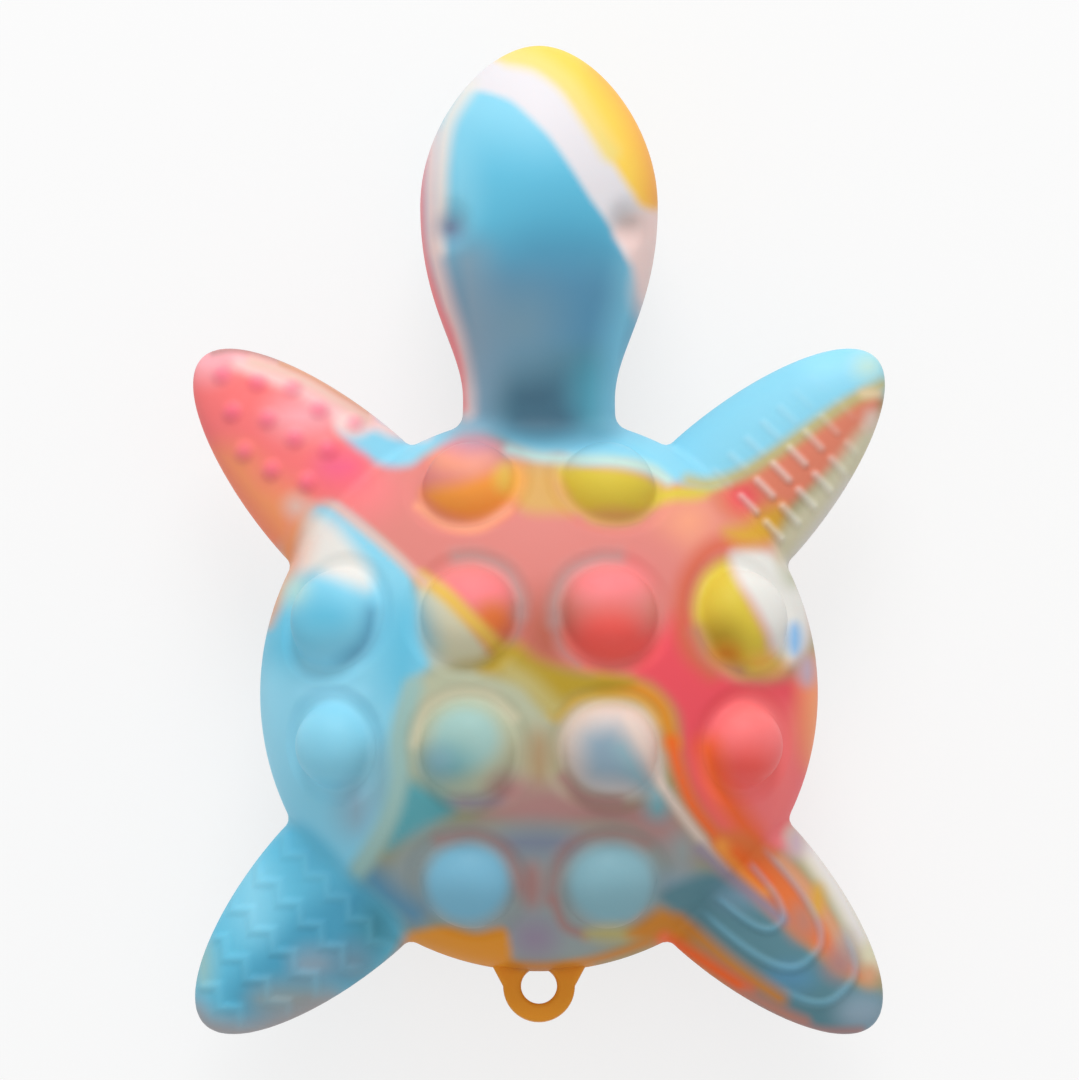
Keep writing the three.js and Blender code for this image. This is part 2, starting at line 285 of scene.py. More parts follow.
def eye_field(p):
    ball = (EYE_RADIUS**2 + EYE_DEPTH**2) / (2 * EYE_DEPTH)
    out = 1 + (ball - EYE_DEPTH) / HEAD_HALF_WIDTH
    across = np.abs(p[:, 0]) - out * HEAD_HALF_WIDTH * math.sin(EYE_SPREAD)
    up = p[:, 2] - out * HEAD_HALF_HEIGHT * math.cos(EYE_SPREAD)
    return np.sqrt(across**2 + (p[:, 1] - EYE_Y) ** 2 + up**2) - ball


def vent_field(p):
    out = np.hypot(p[:, 0], p[:, 1] - VENT_Y) - VENT_RADIUS
    return np.maximum(out, p[:, 2] + SEAM_HEIGHT - VENT_DEPTH)


def toy_field(p):
    form = smooth_min(body_field(p), head_field(p), NECK_FILLET)
    form = smooth_min(form, flipper_field(p), FLIPPER_FILLET)
    form = -smooth_min(-form, eye_field(p), EYE_EDGE)
    return -smooth_min(-form, vent_field(p), VENT_EDGE)


def loop_field(p):
    """The key loop: a flat tab that narrows to a round end, with rounded edges and a hole."""
    turns = np.linspace(math.pi, 2 * math.pi, LOOP_END_STEPS)
    end = np.stack([np.cos(turns), np.sin(turns)], -1) * (LOOP_HOLE_RADIUS + LOOP_RIM) + (0, LOOP_HOLE_Y)
    outline = np.vstack([(-LOOP_ROOT_HALF_WIDTH, LOOP_ROOT_Y), end, (LOOP_ROOT_HALF_WIDTH, LOOP_ROOT_Y)])
    hole = LOOP_HOLE_RADIUS - np.hypot(p[:, 0], p[:, 1] - LOOP_HOLE_Y)
    flat = np.maximum(outline_distance(p[:, :2], outline), hole) + LOOP_EDGE
    deep = np.abs(p[:, 2]) - LOOP_THICKNESS / 2 + LOOP_EDGE
    out = np.hypot(np.maximum(flat, 0), np.maximum(deep, 0))
    return out + np.minimum(np.maximum(flat, deep), 0) - LOOP_EDGE


def slope_of(field, p):
    moves = SLOPE_STEP * np.eye(3)
    return np.stack([(field(p + move) - field(p - move)) / (2 * SLOPE_STEP) for move in moves], -1)


def outward(p):
    slope = slope_of(toy_field, p)
    return slope / np.maximum(np.linalg.norm(slope, axis=1, keepdims=True), TINY)


def settled(field, p):
    """Points moved onto the field's surface."""
    for _ in range(SETTLE_ROUNDS):
        slope = slope_of(field, p)
        p = p - field(p)[:, None] * slope / np.maximum((slope**2).sum(1, keepdims=True), TINY)
    return p


def surface_of(field, low, high, step):
    """Points and four-sided faces of the field's surface."""
    axes = [np.arange(start, end, step) for start, end in zip(low, high)]
    cells = np.stack(np.meshgrid(*axes, indexing="ij"), -1)
    values = np.stack([field(slab.reshape(-1, 3)).reshape(slab.shape[:-1]) for slab in cells])
    grid = openvdb.FloatGrid(background=float(values.max()))
    grid.copyFromArray(values.astype(np.float32))
    points, quads = grid.convertToQuads(isovalue=0.0)
    return settled(field, np.array(low) + points.astype(float) * step), quads


# Dyes of the silicone, with two colours that are only painted shade, and some dyes also used to paint shade
# and highlight
DYES_AND_PAINTED_SHADES = {
    "white": 0xE6E4DE, "pearl": 0xE4E0E4, "ivory": 0xD8D2B4, "cream": 0xECD4AC, "lemon": 0xF0D880,
    "seafoam": 0xC4E4D8, "pale_sky": 0x9CE0F8, "sky": 0x8CD4EC, "blue": 0x68C2E0, "soft_blue": 0x7CB8D2,
    "ocean": 0x50A4C4, "periwinkle": 0x8CBCE8, "steel": 0x5C94B4, "slate": 0x789CB0, "mist": 0x90A8B8,
    "pale_teal": 0x88B4C0, "teal": 0x5CA6B0, "sea": 0x4E98AC, "denim": 0x5C90A4, "petrol": 0x5E8A96,
    "painted_shade_teal": 0x406478, "mint": 0xA0C4BE, "pale_sage": 0xBCC0A4, "taupe": 0x9E9870,
    "pewter": 0x98A4A4, "ash": 0xB4A4A0, "mauve": 0x988CA0, "storm": 0x747C98, "lilac": 0xC4ACBC,
    "blush": 0xF6D6D0, "linen": 0xE6D0C4, "peach": 0xE8C2B4, "apricot": 0xF4A482, "tan": 0xD8A07C,
    "terracotta": 0xE0846A, "clay": 0xC48470, "rosewood": 0xB08480, "salmon": 0xDE867E,
    "coral": 0xF88488, "melon": 0xFC7C7C, "hot_pink": 0xF86C90, "rose": 0xEC5460, "scarlet": 0xF86058,
    "russet": 0xD86A50, "carrot": 0xE87A40, "flame": 0xF86A28, "orange": 0xF89E44, "marigold": 0xE8962A,
    "rust": 0xD48628, "amber": 0xDAA83C, "brass": 0xD8A860, "gold": 0xECC058, "sun": 0xFCD258,
    "mustard": 0xDCC444, "olive": 0xB89A2E, "khaki": 0xC4B878, "fawn": 0xB4946E, "painted_shade_brick": 0xB86450,
    "tangerine": 0xFFA06C, "pink": 0xF8B0B8,
}


def linear(code):
    """A colour code's sRGB channels as light."""
    channels = np.array([code >> 16, code >> 8 & 255, code & 255]) / 255
    return np.where(channels <= 0.04045, channels / 12.92, ((channels + 0.055) / 1.055) ** 2.4)


# The moulded relief on the flippers, in each flipper's own along and across lengths
RELIEF_HEIGHT = 0.42
RELIEF_MARGIN = 1.6
RELIEF_BODY_INSET = 1.5
RELIEF_ROOT_DEPTH = 6.0
RELIEF_DETAIL_DEPTH = 3.0
RELIEF_DETAIL_FLOOR = 1.0
NUB_RADIUS = 2.1
NUB_RISE = 1.35
NUBS = np.array([
    (62.9, 0), (58.5, 2.7), (54.5, 5.6), (49.6, 6.0), (44.8, 8.2), (58, -2.8),
    (53.6, -0.1), (48.9, 0.6), (44.5, 2.8), (52.8, -5.6), (48.1, -4.8), (43.3, -2.6),
])
DASH_ROWS = ((-2.7, 0.25), (2.5, 1.0), (7.5, 1.0))
DASH_FIRST = 38.8
DASH_PITCH = 3.25
DASH_HALF_LENGTH = 1.4
DASH_WIDTH = 1.05
DASH_FADE = (46.0, 62.0)
ZIGZAG_FIRST = 40.3
ZIGZAG_PITCH = 5.35
ZIGZAG_SWING = 0.95
ZIGZAG_PERIOD = 4.2
ZIGZAG_WIDTH = 1.15
ZIGZAG_RISE = 0.7
ARCHES = ((46.8, 3.3, 34.0), (53.2, 6.1, 36.0), (59.6, 7.4, 52.0))
ARCH_ROOT = 33.0
ARCH_FADE = 5.0
ARCH_WIDTH = 1.0
ARCH_BLUNTNESS = 0.7
ARCH_STEPS = 41


def bump(gap, width):
    return smooth_step(1 - gap / width)


def beat_of(along, first, pitch):
    """How far places lie from the nearest beat of a row."""
    return (along - first + pitch / 2) % pitch - pitch / 2


def nub_relief(along, across):
    gaps = np.hypot(along[:, None] - NUBS[:, 0], across[:, None] - NUBS[:, 1])
    return NUB_RISE * bump(gaps.min(1), NUB_RADIUS)


def dash_relief(along, across):
    beat = beat_of(along, DASH_FIRST, DASH_PITCH)
    height = np.zeros(len(along))
    for row, rise in DASH_ROWS:
        past_end = np.maximum(np.abs(across - row) - DASH_HALF_LENGTH, 0)
        height = np.maximum(height, rise * bump(np.hypot(beat, past_end), DASH_WIDTH))
    start, end = DASH_FADE
    return height * smooth_step((end - along) / (end - start))


def zigzag_relief(along, across):
    saw = np.abs((across / ZIGZAG_PERIOD) % 1 - 0.5) * 4 - 1
    beat = beat_of(along - ZIGZAG_SWING * saw, ZIGZAG_FIRST, ZIGZAG_PITCH)
    tilt = math.hypot(1, 4 * ZIGZAG_SWING / ZIGZAG_PERIOD)
    return ZIGZAG_RISE * bump(np.abs(beat) / tilt, ZIGZAG_WIDTH)


def arch_relief(along, across):
    places = np.stack([along, across], -1)
    height = np.zeros(len(along))
    turns = np.linspace(-math.pi / 2, math.pi / 2, ARCH_STEPS)
    crown = np.cos(turns) ** ARCH_BLUNTNESS
    bow = np.sign(turns) * np.abs(np.sin(turns)) ** ARCH_BLUNTNESS
    for end, half_width, legs in ARCHES:
        arch = np.stack([ARCH_ROOT + (end - ARCH_ROOT) * crown, half_width * bow], -1)
        ridge = bump(path_distance(places, arch), ARCH_WIDTH) * smooth_step((along - legs) / ARCH_FADE)
        height = np.maximum(height, ridge)
    return height


# Each flipper's side, end and relief, and the tint of its ridges and by how much: paler ridges are partly
# dye and partly painted highlight, and the nubs' hot pink is painted shadow
QUARTERS = (
    (-1, 1, nub_relief, "hot_pink", 0.4),
    (1, 1, dash_relief, "white", 0.4),
    (-1, -1, zigzag_relief, "sky", 0.2),
    (1, -1, arch_relief, "soft_blue", 0.3),
)


def relief(p):
    """Height of the relief on the upper side of the flippers, its ridge tints, partly dye and partly painted
    highlight and shadow, and their shares.
    """
    along, across = flipper_place(p)
    out = np.clip((along - BODY_RADIUS) / flipper_reach(p), 0, 1)
    half_width = FLIPPER_HALF_WIDTH * np.sqrt(1 - out**2) * (1 - FLIPPER_TAPER * out)
    inside = smooth_step((half_width - np.abs(across)) / RELIEF_MARGIN)
    clear = smooth_step((np.hypot(p[:, 0], p[:, 1]) - BODY_RADIUS + RELIEF_BODY_INSET) / RELIEF_MARGIN)
    upper = smooth_step(p[:, 2] / RELIEF_MARGIN)
    height, ridge_dyes_and_light, shares = np.zeros(len(p)), np.zeros((len(p), 3)), np.zeros(len(p))
    for side, end, shape, dye_and_painted_light, share in QUARTERS:
        chosen = (p[:, 0] * side > 0) & (p[:, 1] * end > 0) & (along > BODY_RADIUS - RELIEF_ROOT_DEPTH)
        if chosen.any():
            height[chosen] = shape(along[chosen], side * across[chosen])
            ridge_dyes_and_light[chosen] = linear(DYES_AND_PAINTED_SHADES[dye_and_painted_light])
            shares[chosen] = share
    height *= inside * clear * upper
    return RELIEF_HEIGHT * height, ridge_dyes_and_light, np.minimum(shares * height, 1)


# Patches of dye, and a few of painted shade and highlight: a colour, how soft its edge is, the width of a
# streak or none, and its path
CURVE_STEPS = 6
SPOT_POINTS = 12


def rounded(points, closed):
    """A smooth path through given points."""
    points = np.array(points, float)
    if closed:
        before, after, last = np.roll(points, 1, 0), np.roll(points, -1, 0), np.roll(points, -2, 0)
    else:
        points = np.vstack([2 * points[0] - points[1], points, 2 * points[-1] - points[-2]])
        before, points, after, last = points[:-3], points[1:-2], points[2:-1], points[3:]
    t = np.linspace(0, 1, CURVE_STEPS, endpoint=False)[None, :, None]
    a, b, c, d = (side[:, None] for side in (before, points, after, last))
    path = 0.5 * (2 * b + (c - a) * t + (2 * a - 5 * b + 4 * c - d) * t**2 + (3 * b - a - 3 * c + d) * t**3)
    path = path.reshape(-1, 2)
    return path if closed else np.vstack([path, after[-1:]])


def area(dye_and_painted_light, soft, *points):
    return linear(DYES_AND_PAINTED_SHADES[dye_and_painted_light]), soft, 0.0, rounded(points, True)


def streak(dye_and_painted_light, width, soft, *points):
    return linear(DYES_AND_PAINTED_SHADES[dye_and_painted_light]), soft, width, rounded(points, False)


def spot(dye_and_painted_light, soft, middle, half_sizes):
    turns = np.linspace(0, 2 * math.pi, SPOT_POINTS, endpoint=False)
    around = np.stack([np.cos(turns), np.sin(turns)], -1)
    return area(dye_and_painted_light, soft, *(np.array(middle) + around * half_sizes))


# The marbling, with some patches of painted shade and highlight among it, laid down in turn, as it is seen
# from the photograph's view
MARBLING = [
    # Pink back
    area("salmon", 1.6, (-34, 27), (-29, 25.6), (-24, 22.6), (-19, 17.6), (-16.6, 13), (-17, 7),
         (-8, 3), (0, 3.6), (6, 2.4), (13, 2), (20, 3), (26, 2), (34, 3), (38, 10), (36, 18), (33, 22),
         (30, 28), (20, 31), (8, 34), (-4, 34.6), (-10, 37.4), (-18, 33), (-26, 36)),
    spot("coral", 5, (-26, 29), (5, 4)),
    spot("apricot", 5, (21, 24), (3, 3)),
    spot("salmon", 3, (16, 19), (3, 2)),
    # Painted shade in the hollow between the front inner pair of bubbles and the olive band
    spot("painted_shade_brick", 5.0, (1, 8), (4, 5)),
    # Red right side
    area("rose", 2.0, (14, 5.5), (17, 8.5), (19.5, 11), (22, 8), (24, 4), (30, 1.6), (40, 2), (41, -10),
         (38, -19), (34, -21), (30, -21.5), (26, -20), (23, -17), (20.8, -13), (19.6, -8), (19, -3),
         (16, 0.5), (13, 2.5)),
    area("melon", 2.5, (22.5, -9), (24, -15), (27, -20), (32, -21.5), (35, -18), (37, -12), (36, -4),
         (30, -0.5), (25, -3)),
    spot("scarlet", 3.0, (29, -10.5), (3.5, 2.5)),
    spot("tangerine", 2.5, (38.5, -3), (2, 8)),
    streak("flame", 3.0, 2.4, (23.6, -8), (25, -13), (27.5, -17), (30, -20.5)),
    spot("coral", 1.8, (34.5, -20.5), (2.5, 1.6)),
    # Front right pair of bubbles
    streak("russet", 2.2, 1.8, (29, 21.4), (24, 20), (20.8, 16), (20, 11), (21, 6), (24, 3)),
    area("mustard", 1.4, (21.6, 12), (23, 16.4), (26.5, 18.6), (28.5, 14.4), (30.5, 10.5), (32, 7),
         (32, 3.5), (28.5, 2.4), (25, 4.4), (22.4, 8)),
    spot("olive", 3.0, (25.6, 8), (2.4, 2)),
    streak("clay", 1.4, 1.8, (22, 8.4), (24, 4.8), (28, 3)),
    spot("rust", 2.0, (26, 5.4), (1.8, 1.2)),
    area("white", 1.4, (27, 19.5), (31, 20), (34, 18.5), (37.5, 14), (38, 8), (36, 4.5), (33, 4.5),
         (32, 8.5), (29.9, 12.5), (27.4, 16.5)),
    spot("gold", 1.8, (32, 4), (2.2, 1.5)),
    spot("pale_sage", 2.0, (35.5, 18), (1.5, 3)),
    spot("periwinkle", 1.2, (35.8, 7.5), (1.0, 2.2)),
    spot("lilac", 1.5, (37.5, 3), (1.2, 2.0)),
    spot("coral", 3.0, (10, 15.5), (5, 3)),
    spot("scarlet", 3.0, (10, 7.5), (5.5, 4)),
    # A pale arc round the top and inner side of the bubble's rim, and a darker one below it
    streak("ash", 0.6, 2.2, (11, 19), (8, 18.8), (4, 16.8), (2.2, 13), (2.2, 10)),
    streak("rosewood", 0.5, 1.5, (2.2, 11), (2.2, 9), (3.2, 6), (5.4, 3.8)),
    # Front left bubble, half pink and half pale
    spot("coral", 2.5, (-9, 14.5), (5, 3)),
    spot("carrot", 2.0, (-6.5, 10), (2.5, 2.5)),
    area("ivory", 1.2, (-17, 15), (-14.5, 15), (-11.5, 12), (-9, 8.5), (-7, 5.5), (-6, 3.4), (-11, 2.6),
         (-15, 3.6), (-17.8, 7.5)),
    streak("gold", 2.0, 1.1, (-16.4, 16), (-13, 13.6), (-9.8, 10.4), (-7, 7.6), (-4.8, 5.2)),
    spot("olive", 1.5, (-8, 3.4), (4, 0.8)),
    # A pale arc round the top and inner side of the bubble's rim, and a darker one below it
    streak("ash", 0.6, 2.2, (-11.5, 19), (-8.5, 19), (-4.5, 17.2), (-2.6, 13.6), (-2.6, 11)),
    streak("rosewood", 0.4, 1.5, (-2.6, 12), (-2.8, 9), (-4.2, 5.8)),
    # Blue left side
    area("sky", 1.2, (-36, 26), (-33.5, 25.2), (-31, 26.6), (-28.5, 26.2), (-25, 23.6), (-21, 20),
         (-18.2, 17), (-17.2, 13), (-17.2, 8), (-15.6, 3.6), (-17.5, 0.6), (-19.5, -5), (-19.6, -12),
         (-20.6, -17), (-23.4, -22), (-26, -26), (-30, -31), (-38, -33), (-46, -26), (-46, 0),
         (-44, 20)),
    spot("blue", 4.0, (-19, 6), (3.4, 7)),
    spot("blue", 4.0, (-36, 7), (3, 4)),
    spot("pale_sky", 5.0, (-38, -6), (3, 8)),
    spot("pale_teal", 4.0, (-22, -12), (2, 4)),
    area("white", 1.8, (-33.5, 24), (-31.4, 25), (-28.5, 23.4), (-26, 20.4), (-23.6, 17), (-24, 14.4),
         (-27, 15.2), (-31, 16.8), (-33.8, 17.5)),
    streak("peach", 1.0, 1.1, (-33.4, 25.6), (-31, 26.8), (-28.3, 25.9), (-25, 23.3), (-21, 20),
           (-18, 17.2), (-16, 15.4)),
    spot("peach", 2.0, (-34.4, 26.6), (1.8, 2)),
    streak("orange", 1.4, 1.6, (-34, 24.6), (-35, 20.5), (-35.4, 17), (-36.5, 13.5), (-38.2, 10)),
    spot("seafoam", 2.4, (-34, 14), (1.4, 1.8)),
    # Painted shade: a dark crescent on the lower right side of the front left outer bubble
    streak("steel", 0.8, 2.4, (-23.6, 11), (-24.4, 7), (-27.4, 4)),
    spot("pale_sky", 2.0, (-29, 0), (4.5, 1.2)),
    spot("sky", 2.0, (-29, 3), (4.5, 1.2)),
    spot("blue", 4.0, (-30, 10.6), (4, 3)),
    spot("mist", 4.0, (-25.6, -16.5), (1.6, 2.6)),
    # Pale middle, with the back inner pair
    area("pale_sage", 1.6, (-18, 1), (-13, 3.6), (-8, 3.2), (-3, 3.4), (0.5, 1), (2.5, -4), (2.4, -10),
         (4, -15), (0, -16), (-6, -16.4), (-13, -16), (-17.4, -12), (-19, -6)),
    streak("ivory", 1.4, 1.2, (-17.6, -7), (-16, -2.4), (-12, 0), (-7, -0.2), (-3.4, -3.4)),
    spot("mint", 2.0, (-10.2, -6.4), (4.8, 4.6)),
    spot("teal", 4.0, (-13, -10.4), (2.4, 1.6)),
    spot("pale_teal", 2.6, (-14, -9.6), (1.6, 1.6)),
    spot("fawn", 3.0, (0, -9.6), (1.8, 4)),
    spot("rosewood", 2.4, (-4, -14), (3, 2.4)),
    spot("mauve", 1.8, (-9, -15.5), (4, 0.8)),
    area("rosewood", 2.4, (0, -13), (6, -14.6), (12, -15.4), (17, -14.6), (20, -17.5), (22, -22),
         (19, -25), (12, -19.5), (4, -19), (-4, -18.6), (-8, -17.5)),
    area("teal", 1.8, (-19.4, -13), (-15, -13.6), (-12, -16.4), (-14, -18.5), (-18, -21),
         (-21.6, -21.6)),
    area("pewter", 2.4, (-20, -22.5), (-14, -18.8), (-4, -18.6), (4, -19), (13, -19.6), (20, -25),
         (20, -29), (14, -33), (6, -38), (-5, -38), (-12, -33), (-18, -32), (-23, -28)),
    spot("storm", 4.0, (0, -21), (4.4, 1.2)),
    spot("rosewood", 2.0, (-1, -27), (1.6, 3)),
    spot("mauve", 3.0, (-0.6, -34.4), (3, 2.6)),
    streak("steel", 3.4, 2.6, (-23.4, -26), (-21, -28.6), (-17.6, -31)),
    spot("pewter", 3.0, (20, -22.5), (2, 2.6)),
    spot("teal", 2.6, (16.6, -16), (1.2, 1.4)),
    spot("mist", 2.6, (21, -27), (4, 1.6)),
    streak("gold", 1.6, 1.6, (2.6, -3), (5.6, -0.8), (10, 0), (14, -0.8), (16.8, -4)),
    area("linen", 1.6, (3.4, -4.8), (5.8, -2.2), (10, -1.4), (14.6, -2.4), (17, -6), (17.2, -11),
         (15, -14.2), (9.5, -14.6), (5, -12.6), (3.2, -9)),
    area("mist", 3.2, (6, -6), (10.6, -4.6), (13, -8), (15.4, -12.6), (11, -13.4), (6.4, -12)),
    streak("pale_teal", 1.0, 2.2, (11.4, -8), (13.6, -11.4), (16.4, -14.6)),
    streak("rosewood", 1.4, 1.4, (3.4, -12), (6.4, -14.8), (11, -15.4)),
    streak("mint", 2.6, 1.4, (-17.6, 0.6), (-19.6, -6), (-19.6, -12), (-20.8, -17), (-23.4, -22),
           (-25.8, -25.6)),
    streak("marigold", 2.0, 1.5, (9, 1.2), (14, 0.4), (17.2, -2.2), (18.6, -7)),
    area("olive", 1.7, (-8, 3), (-6, 6.2), (-3, 6.8), (0, 4.6), (5, 3), (10, 2.4), (13, 1.4), (10, 0),
         (5, -0.6), (2, -3), (0.2, -1.6), (-2.6, 1.6)),
    streak("khaki", 1.8, 2.2, (-4, 3), (-1, 1), (2, -2)),
    streak("flame", 1.6, 1.4, (18.6, -7), (19.6, -11), (21.6, -16), (25, -20.4)),
    streak("linen", 1.0, 1.1, (12.6, -3.6), (15.2, -8), (16.9, -12.4), (19.7, -16.6), (23.2, -21.2),
           (26.4, -24.8)),
    # Tail pair
    spot("soft_blue", 1.6, (-10, -26.6), (6, 5.6)),
    spot("pale_teal", 1.6, (10.2, -26.8), (6.2, 5.6)),
    streak("rosewood", 0.7, 2.0, (-14, -20.6), (-9, -19.8), (-4.6, -22), (-2.4, -27)),
    streak("rosewood", 0.7, 2.0, (1.6, -29), (2.8, -23.4), (6, -20.4), (11, -19.8), (15, -21)),
    streak("rosewood", 1.0, 1.2, (2, -29), (3.6, -32.6), (6.4, -34)),
    spot("khaki", 1.6, (10.5, -33.8), (4, 1.0)),
    # Tail edge
    area("marigold", 1.0, (-21, -34.6), (-17, -33.4), (-13, -32.8), (-9, -33.6), (-5, -33), (-4, -35.5),
         (-3.4, -38), (0, -38.8), (8, -38.4), (12, -50), (-12, -50), (-22, -38)),
    streak("rust", 1.0, 1.0, (-4, -38.2), (0, -38.4), (4, -38.2), (8, -37.4), (12, -36.2), (15, -35)),
    area("rust", 1.6, (12.5, -34), (15, -31.4), (18, -30), (22, -30.6), (25, -33), (21, -35),
         (17, -35.4)),
    # Neck row
    area("brass", 1.6, (-3.6, 32), (2, 32.2), (3, 29), (5, 25.4), (2, 25), (-2, 25.4), (-4, 28)),
    area("orange", 1.8, (-16, 28), (-11, 29.4), (-6.5, 31), (-3.2, 32), (-2.6, 29), (-5, 25.5),
         (-9.5, 24), (-14, 25.2)),
    spot("gold", 1.6, (-4.8, 30), (1.4, 2)),
    spot("apricot", 2.4, (-10.4, 33), (4.2, 2)),
    spot("coral", 2.5, (-10, 34.6), (3.4, 1.4)),
    streak("apricot", 1.2, 1.0, (-16.8, 26), (-13, 23.4), (-8.5, 23), (-4.4, 25.4)),
    area("mustard", 1.4, (2.6, 31.6), (8, 31.6), (13, 31), (17, 29), (16, 26), (12.6, 24.2), (8, 24.4),
         (4.6, 26.6)),
    spot("brass", 1.6, (10.5, 24.6), (3.6, 1.0)),
    streak("mustard", 2.0, 1.2, (16, 27.2), (19, 27.8), (22, 28), (25, 29)),
    # Shoulders
    area("sky", 1.2, (-29, 37), (-26.4, 34), (-24, 32.6), (-21, 31.6), (-18, 31.8), (-16, 33.2),
         (-13, 35), (-10, 36.6), (-6, 36.4), (-3, 34.6), (0, 33.2), (3, 33.4), (6, 32.2), (12, 32.2),
         (16, 31), (19, 29.6), (23, 30), (26, 31.4), (28, 40), (18, 42), (-10, 42), (-20, 40),
         (-27, 41)),
    area("sea", 2.4, (-6, 38), (0, 35.4), (8, 36), (11, 38), (8, 42), (-6, 42)),
    streak("seafoam", 1.4, 1.2, (-4, 34), (0, 33), (5, 32.6), (10, 32.4), (15, 31.4), (18, 29.8)),
    streak("blush", 1.6, 1.2, (-28, 38.6), (-24, 38), (-20, 36.4), (-16, 36.2)),
    # Front left flipper
    area("melon", 1.4, (-52, 50), (-46, 49), (-38, 47), (-30, 42.5), (-28.6, 39), (-28, 36.6),
         (-26, 34), (-24, 32), (-27, 28.5), (-30, 27), (-33, 26), (-36, 21), (-38, 20), (-44, 28),
         (-50, 40)),
    spot("hot_pink", 3.0, (-28, 31.5), (3, 2)),
    area("pink", 1.6, (-47, 46.5), (-43, 46), (-38, 44), (-33, 42), (-29, 39.4), (-26, 36.8),
         (-23, 38.4), (-28, 42.4), (-36, 46), (-44, 48.5)),
    streak("blush", 1.0, 1.8, (-42, 46), (-37, 44), (-33, 42), (-29, 39.6), (-26, 37.4)),
    spot("pink", 4.0, (-33, 38.6), (4, 2)),
    spot("pink", 3.0, (-46.5, 46), (2.5, 2)),
    spot("blush", 1.6, (-26, 37.6), (2.4, 1.6)),
    streak("rosewood", 0.8, 0.9, (-45.6, 47.6), (-42, 48), (-38, 47), (-35, 45.8)),
    streak("peach", 1.6, 1.0, (-40, 46.2), (-36, 45), (-32, 43.2), (-28, 40.8), (-24, 38.4)),
    streak("tan", 0.6, 0.7, (-36, 46), (-32, 44.2), (-28, 41.8), (-24, 39.4)),
    area("tangerine", 4.0, (-45, 33), (-41, 33), (-38.6, 30), (-36.5, 29), (-34, 27), (-33.6, 21),
         (-35, 18), (-40, 24)),
    spot("peach", 2.0, (-34, 26), (1.4, 1.4)),
    # Front right flipper
    area("sky", 1.2, (17, 33), (19, 30), (23, 29), (27, 29), (31, 31.6), (36, 35), (41, 38.6),
         (46, 41.6), (50, 42), (46, 52), (36, 50), (24, 42), (16, 38)),
    spot("pale_sky", 4.0, (42, 45.5), (4, 1.6)),
    spot("seafoam", 2.6, (46, 45.6), (1.6, 1.4)),
    area("terracotta", 1.2, (24, 27.2), (27, 29.4), (31, 31.8), (36, 35.2), (41, 38.8), (45.4, 41.6),
         (47.6, 41), (46.4, 35), (41.4, 31.4), (36.6, 27.4), (32.4, 24), (27, 24)),
    spot("rose", 2.2, (28.5, 27.4), (1.8, 1.6)),
    streak("khaki", 1.5, 1.3, (21, 29.6), (24, 29.2), (28.4, 30.6), (33, 33.4), (38, 37), (43, 40.4),
           (48, 43)),
    area("amber", 1.8, (26, 22.6), (29, 23.6), (31.6, 25.6), (34, 26), (34.4, 23), (32, 20.8),
         (28, 20.8)),
    area("ivory", 1.6, (33, 20.4), (35.4, 24.4), (38.4, 28.2), (41.4, 31.8), (44.4, 36), (47.6, 38.6),
         (50, 38), (46, 29), (39, 20), (35, 17.6)),
    spot("cream", 1.2, (46.4, 41.8), (1.4, 0.6)),
    spot("linen", 1.8, (46.6, 38), (0.8, 1.2)),
    streak("pearl", 1.0, 1.8, (35.4, 18), (39.6, 23.4), (43.6, 29)),
    # Rear left flipper
    area("blue", 1.6, (-26, -26), (-30, -21), (-35, -18.4), (-42, -25), (-50, -38), (-50, -50),
         (-40, -51), (-30, -46), (-20.2, -37.2), (-19.6, -31.6)),
    area("ocean", 3.0, (-24, -28), (-29, -28), (-34, -31), (-39, -36), (-44, -42), (-40, -46),
         (-32, -42), (-24, -36)),
    # Painted highlight: a lighter patch in the middle of the rear left flipper
    spot("sky", 4.0, (-40, -29), (2.6, 5)),
    spot("mist", 2.6, (-31.5, -38), (3, 2)),
    spot("sea", 3.0, (-23, -33), (2.4, 3)),
    spot("pewter", 3.0, (-35, -43), (5, 2)),
    spot("slate", 3.0, (-26, -38), (2.5, 2.5)),
    spot("mint", 2.5, (-47, -38), (1.0, 3)),
    streak("ash", 2.8, 2.8, (-29, -43.6), (-35, -46), (-41, -47.6), (-46, -47), (-48.4, -45)),
    # Rear right flipper
    area("petrol", 1.4, (17, -28.6), (21, -26), (25, -25.4), (29, -28.4), (33, -31.6), (37, -35),
         (41, -38.6), (45, -41.4), (49, -43), (50, -50), (40, -50), (32, -46), (26, -40), (21, -33)),
    spot("mist", 2.6, (45.4, -45), (3.6, 2.8)),
    spot("slate", 2.6, (28, -28.4), (3, 1.6)),
    spot("steel", 2.6, (35, -40), (3, 1.6)),
    area("carrot", 1.4, (24.4, -20.6), (28, -19.4), (32, -21.6), (36, -25.4), (39.6, -30), (43, -35.6),
         (45.6, -40), (42, -38.6), (37, -34.6), (33, -31), (29, -27), (26, -24)),
    streak("orange", 1.8, 1.2, (25.6, -21.6), (28.4, -24.8), (31.4, -27.8)),
    spot("clay", 2.4, (37, -32), (2, 2.4)),
    streak("flame", 1.2, 1.6, (27.6, -22.4), (31.6, -26.4)),
    streak("tan", 1.4, 1.2, (34, -23.4), (37.6, -27.6), (40.6, -32), (43.4, -37)),
    area("ivory", 1.4, (34.6, -20.4), (37.4, -24.4), (40.4, -28.4), (43, -33), (45.4, -38.4), (49, -38),
         (46, -29), (39, -20.4), (36, -18.4)),
    streak("pearl", 1.4, 2.0, (38, -22), (42, -28), (45, -34)),
    spot("lilac", 2.0, (36, -21), (1.2, 1.8)),
    spot("amber", 1.6, (39, -29), (0.8, 2)),
    spot("ash", 2.4, (43, -36), (1.2, 2.2)),
